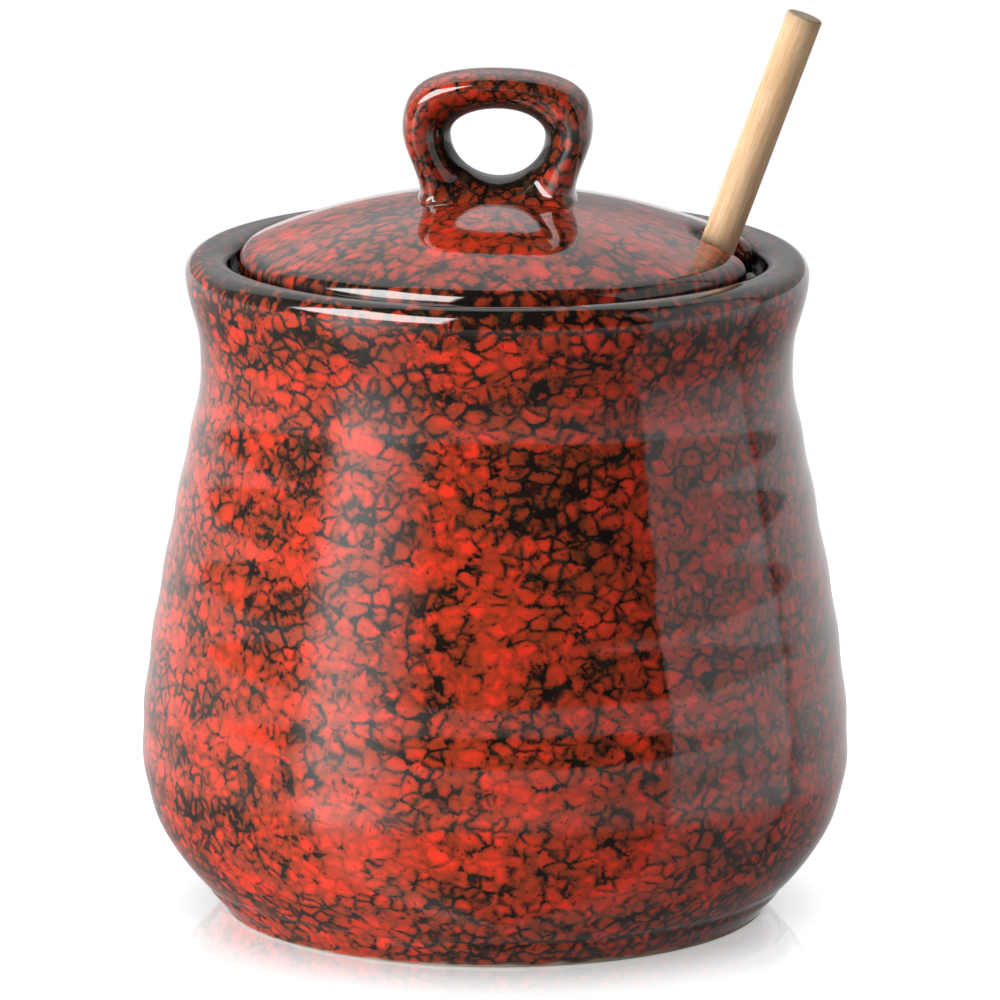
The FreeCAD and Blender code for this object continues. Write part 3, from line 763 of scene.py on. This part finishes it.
def shaftProfile(size):
    shaft, floor, top, bend = size["shaft"], size["socketFloor"], size["length"], size["shaftRound"]
    return trace([
        (((0, floor), (shaft, floor)), 2),
        (((shaft, floor), (shaft, top - bend)), 60),
        (quarter((shaft, top - bend), (shaft - bend, top), False), 4),
        (((shaft - bend, top), (0, top)), 4),
    ])


shaftShape = lathe(shaftProfile(dipper), dipper["shaftSteps"])
for vertex in shaftShape.verts:
    spot = vertex.co / mm
    wide, long = dipper["wobbleWide"], dipper["wobbleLong"]
    wobble = dipper["wobble"] * noise.noise(Vector((spot.x / wide, spot.y / wide, spot.z / long)))
    vertex.co += Vector((spot.x, spot.y, 0)).normalized() * wobble * mm
shaftShape.transform(dipperPlace(dipper))
upright = dipperPlace(dipper).inverted()


def sawnEnd(spot):
    height = (upright @ (spot * mm)).z / mm
    low, high = (dipper["length"] - depth for depth in dipper["sawn"])
    return dipper["sawnShare"] * ease(height, low, high)


addPiece("dipperShaft", shaftShape, dipperWood, "dipper", "dipper_shaft", {"bare": sawnEnd})


# Table top, lamps and the room; angles are seen from the pot, azimuth 0 straight to its front.
# Panels are what the glaze mirrors: from and to with the softness of each side, and where they fade upwards
room = {
    "tableRadius": 0.32, "tableSteps": 96, "white": (0.2, 0.2, 0.2), "mirror": 0.5, "tableGloss": 0.05,
    "glow": 0.28, "fade": (0.036, 0.071), "lampAim": 0.07,
    "lamps": {
        "key": {"azimuth": -54, "elevation": 15, "away": 0.95, "size": (0.7, 0.5), "power": 13.4},
        "fill": {"azimuth": 55, "elevation": 20, "away": 0.95, "size": (0.7, 0.7), "power": 1.4},
        "back": {"azimuth": -120, "elevation": 62, "away": 0.95, "size": (0.7, 0.7), "power": 5.0},
    },
    "panels": [
        {"across": (-60, -34, 8, 20), "top": (24, 32), "level": 2.9, "sinks": True},
        {"across": (-82, -17, 4, 2), "top": (58, 62), "level": 13.0, "bottom": (23, 29)},
        {"across": (63, 116, 1, 2), "top": (40, 60), "level": 0.85, "sinks": True},
        {"across": (-118, -60, 3, 8), "top": (30, 60), "level": 0.2},
    ],
    "sink": (-40, 8), "sinkLeast": 0.2, "dark": 0.02,
    "wallFrom": (114, 124), "wallTop": (62, 68), "wallRise": (8, 30), "wallLow": 0.45,
    "horizon": (-1, 1), "floor": (-25, -3), "floorNear": 0.08, "floorFar": 0.45,
    "ambient": 0.08, "wallLight": 0.3,
}


def towards(azimuth, elevation, away):
    az, el = math.radians(azimuth), math.radians(elevation)
    return Vector((math.sin(az) * math.cos(el), -math.cos(az) * math.cos(el), math.sin(el))) * away


# lamps give the shading only, what the glaze mirrors is in the room around it
def areaLamp(name, lit):
    light = bpy.data.lights.new(name, "AREA")
    light.shape = "RECTANGLE"
    light.size, light.size_y = lit["size"]
    light.energy = lit["power"]
    lamp = bpy.data.objects.new(name, light)
    place = towards(lit["azimuth"], lit["elevation"], lit["away"])
    lamp.location = place + Vector((0, 0, room["lampAim"]))
    lamp.rotation_euler = place.to_track_quat("Z", "Y").to_euler()
    lamp.visible_camera = False
    lamp.visible_glossy = False
    scene.collection.objects.link(lamp)


for lampName, lit in room["lamps"].items():
    areaLamp(lampName + "Lamp", lit)


def rays(start, kind):
    return start.node("ShaderNodeLightPath", {}, {}, kind)


# rays that see the white backdrop as it is
def straightRays(start):
    camera = rays(start, "Is Camera Ray")
    return camera.sum("MAXIMUM", camera, rays(start, "Is Transmission Ray"))


# white table that mirrors the pot, with painted shade close to its foot, where its glow is lower so that the
# mirrored pot shows too; mirrored rays pass it to the room's own floor
def tableMaterial(name, look):
    material, start = newMaterial(name)
    matt = start.node("ShaderNodeBsdfDiffuse", {}, {"Color": (*look["white"], 1)})
    shine = start.node("ShaderNodeBsdfGlossy", {}, {"Color": (1, 1, 1, 1), "Roughness": look["tableGloss"]})
    surface = start.node("ShaderNodeMixShader", {}, {0: look["mirror"], 1: matt, 2: shine})
    spot = start.node("ShaderNodeTexCoord", {}, {}, "Object")
    # painted shadow: camera rays see the glow rise from its low value at the foot to full white further out
    far = spot.node("ShaderNodeVectorMath", {"operation": "LENGTH"}, {0: spot}, "Value").step(*look["fade"])
    seen = straightRays(start) * (far * (1 - look["glow"]) + look["glow"])
    lit = start.node("ShaderNodeEmission", {}, {"Color": seen})
    total = start.node("ShaderNodeAddShader", {}, {0: surface, 1: lit})
    clear = start.node("ShaderNodeBsdfTransparent")
    passed = start.node("ShaderNodeMixShader", {}, {0: rays(start, "Is Glossy Ray"), 1: total, 2: clear})
    start.node("ShaderNodeOutputMaterial", {}, {"Surface": passed})
    return material


tableShape = bmesh.new()
bmesh.ops.create_circle(tableShape, cap_ends=True, segments=room["tableSteps"], radius=room["tableRadius"])
tableMesh = bpy.data.meshes.new("tableTop")
tableShape.to_mesh(tableMesh)
tableShape.free()
tableMesh.materials.append(tableMaterial("tableWhite", room))
table = bpy.data.objects.new("tableTop", tableMesh)
scene.collection.objects.link(table)


# 1 between two angles, with edges this soft
def between(angle, low, high, softLow, softHigh):
    return angle.step(low - softLow, low + softLow) * (1 - angle.step(high - softHigh, high + softHigh))


# what the glaze mirrors: a wall behind, panels at the sides and the floor below
def mirroredRoom(azimuth, elevation, wall, look):
    sink = elevation.step(*look["sink"]) * (1 - look["sinkLeast"]) + look["sinkLeast"]
    total = wall * sink * (elevation.step(*look["wallRise"]) * (1 - look["wallLow"]) + look["wallLow"])
    for panel in look["panels"]:
        lit = between(azimuth, *panel["across"]) * (1 - elevation.step(*panel["top"])) * panel["level"]
        if "bottom" in panel:
            lit = lit * elevation.step(*panel["bottom"])
        if "sinks" in panel:
            lit = lit * sink
        total = total + lit
    below = 1 - elevation.step(*look["horizon"])
    floor = below * (elevation.step(*look["floor"]) * look["floorFar"] + look["floorNear"])
    return total + floor + look["dark"]


world = bpy.data.worlds.new("room")
scene.world = world
world.use_nodes = True
world.node_tree.nodes.clear()
start = Wire(world.node_tree)
x, y, z = coordinates(start, start.node("ShaderNodeTexCoord", {}, {}, "Generated"))
azimuth = x.sum("ARCTAN2", x, y * -1) * (180 / math.pi)
elevation = z.sum("ARCSINE", z) * (180 / math.pi)
wall = azimuth.sum("ABSOLUTE", azimuth).step(*room["wallFrom"]) * (1 - elevation.step(*room["wallTop"]))
ambient = wall * room["wallLight"] + room["ambient"]
straight, glossy = straightRays(start), rays(start, "Is Glossy Ray")
level = glossy * mirroredRoom(azimuth, elevation, wall, room) + (1 - glossy) * ambient
level = level * (1 - straight) + straight
backdrop = start.node("ShaderNodeBackground", {}, {"Color": (1, 1, 1, 1), "Strength": level})
start.node("ShaderNodeOutputWorld", {}, {"Surface": backdrop})
print("room lit")

# Camera at the photo's angle
view = {
    "azimuth": 4.5, "elevation": 12.33, "away": 1.75, "look": (0, 0, 0.060), "lens": 378.0, "sensor": 36,
    "roll": 0.28, "shift": (0.00403, 0.05073),
}
lens = bpy.data.cameras.new("photoCamera")
lens.sensor_width = view["sensor"]
lens.lens = view["lens"]
lens.shift_x, lens.shift_y = view["shift"]
camera = bpy.data.objects.new("photoCamera", lens)
place = towards(view["azimuth"], view["elevation"], view["away"])
camera.location = Vector(view["look"]) + place
roll = Matrix.Rotation(math.radians(view["roll"]), 3, "Z")
camera.rotation_euler = (place.to_track_quat("Z", "Y").to_matrix() @ roll).to_euler()
scene.collection.objects.link(camera)
scene.camera = camera

print("scene ready")
